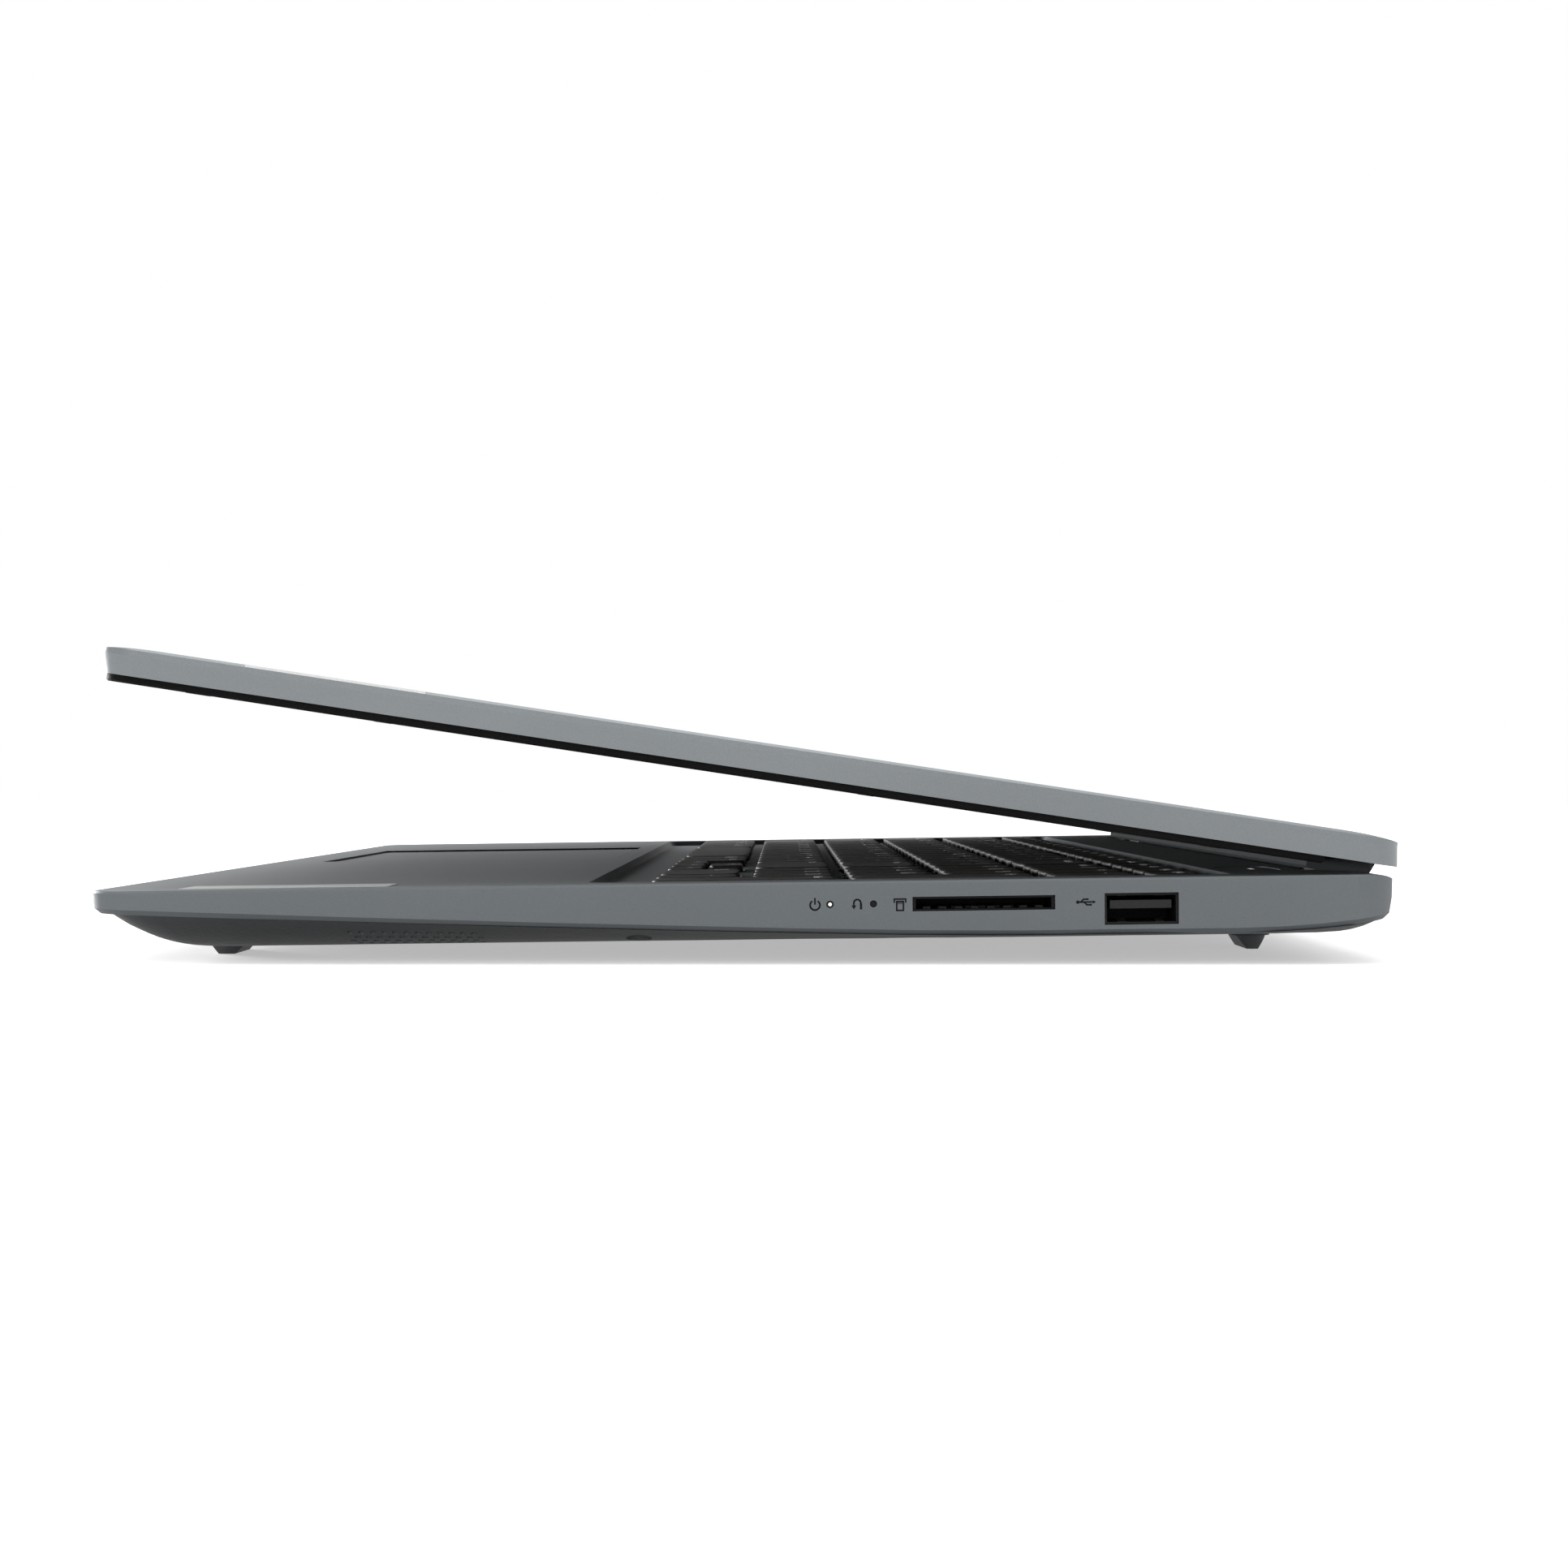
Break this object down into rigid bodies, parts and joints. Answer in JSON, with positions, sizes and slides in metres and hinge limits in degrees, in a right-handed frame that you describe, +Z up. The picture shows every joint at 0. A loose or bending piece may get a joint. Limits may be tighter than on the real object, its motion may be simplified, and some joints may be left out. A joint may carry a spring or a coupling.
{
  "type": "laptop computer",
  "caption": "Slim grey clamshell laptop computer standing slightly open, with island keyboard, touchpad, side sockets and rubber feet.",
  "frame": {"origin": "on the table, under the middle of the part as it stands open a crack", "axes": "+X to the user's right, +Y back towards the hinge, +Z up"},
  "size_m": [0.3602, 0.2376, 0.0571],
  "materials": {
    "body_grey": "fine metallic paint on moulded plastic",
    "underside_dark": "fine textured moulding",
    "bezel_black": "fine textured moulding",
    "key_black": "soft matte",
    "screen_black": "anti-glare film",
    "panel_metal": "rolled sheet",
    "hinge_steel": "zinc plated",
    "connector_steel": "nickel plated",
    "screw_steel": "black zinc",
    "port_black": "moulded",
    "rubber_dark": "matt",
    "lens_glass": "clear",
    "lamp_white": "clear moulded",
    "label_pale": "plain foil label",
    "badge_metal": "satin",
    "board_green": "lacquered laminate",
    "battery_black": "wrapped cells",
    "copper": "bare copper",
    "cable_black": "flat cable"
  },
  "bodies": {
    "base": {"top_case": "body_grey", "bottom_cover": "underside_dark", "keyboard_plate": "panel_metal", "hinge_bracket_left": "hinge_steel", "hinge_bracket_right": "hinge_steel", "usb_port_left": "connector_steel", "usb_port_right": "connector_steel", "sd_card_slot": "connector_steel", "hdmi_port": "connector_steel", "usb_c_port": "connector_steel", "bottom_screws": "screw_steel", "audio_jack": "port_black", "dc_jack": "port_black", "fan_housing": "port_black", "speaker_left": "port_black", "speaker_right": "port_black", "front_feet": "rubber_dark", "rear_feet": "rubber_dark", "status_lamp": "lamp_white", "palmrest_label": "label_pale", "mainboard": "board_green", "io_board": "board_green", "ssd_module": "board_green", "memory_module": "board_green", "wifi_card": "board_green", "battery_pack": "battery_black", "heat_sink": "copper", "io_ribbon": "cable_black"},
    "lid": {"lid_back_cover": "body_grey", "lid_bezel": "bezel_black", "lid_badge": "badge_metal", "lid_bumpers": "rubber_dark", "lid_screws": "screw_steel", "display_panel": "panel_metal", "display_screen": "screen_black", "display_cable": "cable_black", "antenna_pair": "cable_black", "webcam_module": "board_green", "webcam_lens": "lens_glass", "hinge_bar_cover": "body_grey", "hinge_leaf_right": "hinge_steel", "hinge_leaf_left": "hinge_steel"},
    "shutter": {"privacy_shutter": "bezel_black"},
    "touchpad": {"touchpad": "body_grey"},
    "power_button": {"power_button": "body_grey", "power_lamp": "lamp_white"},
    "reset_button": {"reset_button": "port_black"},
    "fan": {"fan_rotor": "port_black"},
    "keys_function_row": {"keys_function_row": "key_black"},
    "keys_number_row": {"keys_number_row": "key_black"},
    "keys_upper_row": {"keys_upper_row": "key_black"},
    "keys_home_row": {"keys_home_row": "key_black"},
    "keys_lower_row": {"keys_lower_row": "key_black"},
    "keys_bottom_row": {"keys_bottom_row": "key_black"},
    "space_bar": {"space_bar": "key_black"},
    "enter_key": {"enter_key": "key_black"},
    "arrow_keys": {"arrow_keys": "key_black"},
    "numpad_keys": {"numpad_keys": "key_black"},
    "numpad_enter": {"numpad_enter": "key_black"},
    "numpad_plus": {"numpad_plus": "key_black"}
  },
  "joints": [
    {"name": "lid_hinge", "type": "hinge", "parent": "base", "child": "lid", "pos_m": [0, 0.11464, 0.0117], "axis": [-1, 0, 0], "range_deg": [-9.33, 125]},
    {"name": "shutter_slide", "type": "slide", "parent": "lid", "child": "shutter", "axis": [-1, 0, 0], "range_m": [0, 0.0051]},
    {"name": "touchpad_press", "type": "hinge", "parent": "base", "child": "touchpad", "pos_m": [-0.0454, -0.0346, 0.01358], "axis": [1, 0, 0], "range_deg": [0, 0.5], "stiffness_Nm_per_rad": 15, "springref_deg": -0.23},
    {"name": "power_press", "type": "slide", "parent": "base", "child": "power_button", "axis": [0, 0.0135, -0.9999], "range_m": [0, 0.0004], "stiffness_N_per_m": 2500, "springref_m": -0.0001},
    {"name": "reset_press", "type": "slide", "parent": "base", "child": "reset_button", "axis": [-1, 0, 0], "range_m": [0, 0.0006], "stiffness_N_per_m": 1000, "springref_m": -0.0001},
    {"name": "fan_spin", "type": "hinge", "parent": "base", "child": "fan", "pos_m": [-0.06, 0.06548, 0.00853], "axis": [0, -0.0135, 0.9999], "continuous": true},
    {"name": "keys_function_row_press", "type": "slide", "parent": "base", "child": "keys_function_row", "axis": [0, 0.0135, -0.9999], "range_m": [0, 0.0014], "stiffness_N_per_m": 4800, "springref_m": -0.0002},
    {"name": "keys_number_row_press", "type": "slide", "parent": "base", "child": "keys_number_row", "axis": [0, 0.0135, -0.9999], "range_m": [0, 0.0014], "stiffness_N_per_m": 4200, "springref_m": -0.0002},
    {"name": "keys_upper_row_press", "type": "slide", "parent": "base", "child": "keys_upper_row", "axis": [0, 0.0135, -0.9999], "range_m": [0, 0.0014], "stiffness_N_per_m": 4200, "springref_m": -0.0002},
    {"name": "keys_home_row_press", "type": "slide", "parent": "base", "child": "keys_home_row", "axis": [0, 0.0135, -0.9999], "range_m": [0, 0.0014], "stiffness_N_per_m": 3600, "springref_m": -0.0002},
    {"name": "keys_lower_row_press", "type": "slide", "parent": "base", "child": "keys_lower_row", "axis": [0, 0.0135, -0.9999], "range_m": [0, 0.0014], "stiffness_N_per_m": 3600, "springref_m": -0.0002},
    {"name": "keys_bottom_row_press", "type": "slide", "parent": "base", "child": "keys_bottom_row", "axis": [0, 0.0135, -0.9999], "range_m": [0, 0.0014], "stiffness_N_per_m": 1800, "springref_m": -0.0002},
    {"name": "space_bar_press", "type": "slide", "parent": "base", "child": "space_bar", "axis": [0, 0.0135, -0.9999], "range_m": [0, 0.0014], "stiffness_N_per_m": 300, "springref_m": -0.0002},
    {"name": "enter_key_press", "type": "slide", "parent": "base", "child": "enter_key", "axis": [0, 0.0135, -0.9999], "range_m": [0, 0.0014], "stiffness_N_per_m": 300, "springref_m": -0.0002},
    {"name": "arrow_keys_press", "type": "slide", "parent": "base", "child": "arrow_keys", "axis": [0, 0.0135, -0.9999], "range_m": [0, 0.0014], "stiffness_N_per_m": 1200, "springref_m": -0.0002},
    {"name": "numpad_keys_press", "type": "slide", "parent": "base", "child": "numpad_keys", "axis": [0, 0.0135, -0.9999], "range_m": [0, 0.0014], "stiffness_N_per_m": 5700, "springref_m": -0.0002},
    {"name": "numpad_enter_press", "type": "slide", "parent": "base", "child": "numpad_enter", "axis": [0, 0.0135, -0.9999], "range_m": [0, 0.0014], "stiffness_N_per_m": 300, "springref_m": -0.0002},
    {"name": "numpad_plus_press", "type": "slide", "parent": "base", "child": "numpad_plus", "axis": [0, 0.0135, -0.9999], "range_m": [0, 0.0014], "stiffness_N_per_m": 300, "springref_m": -0.0002}
  ]
}
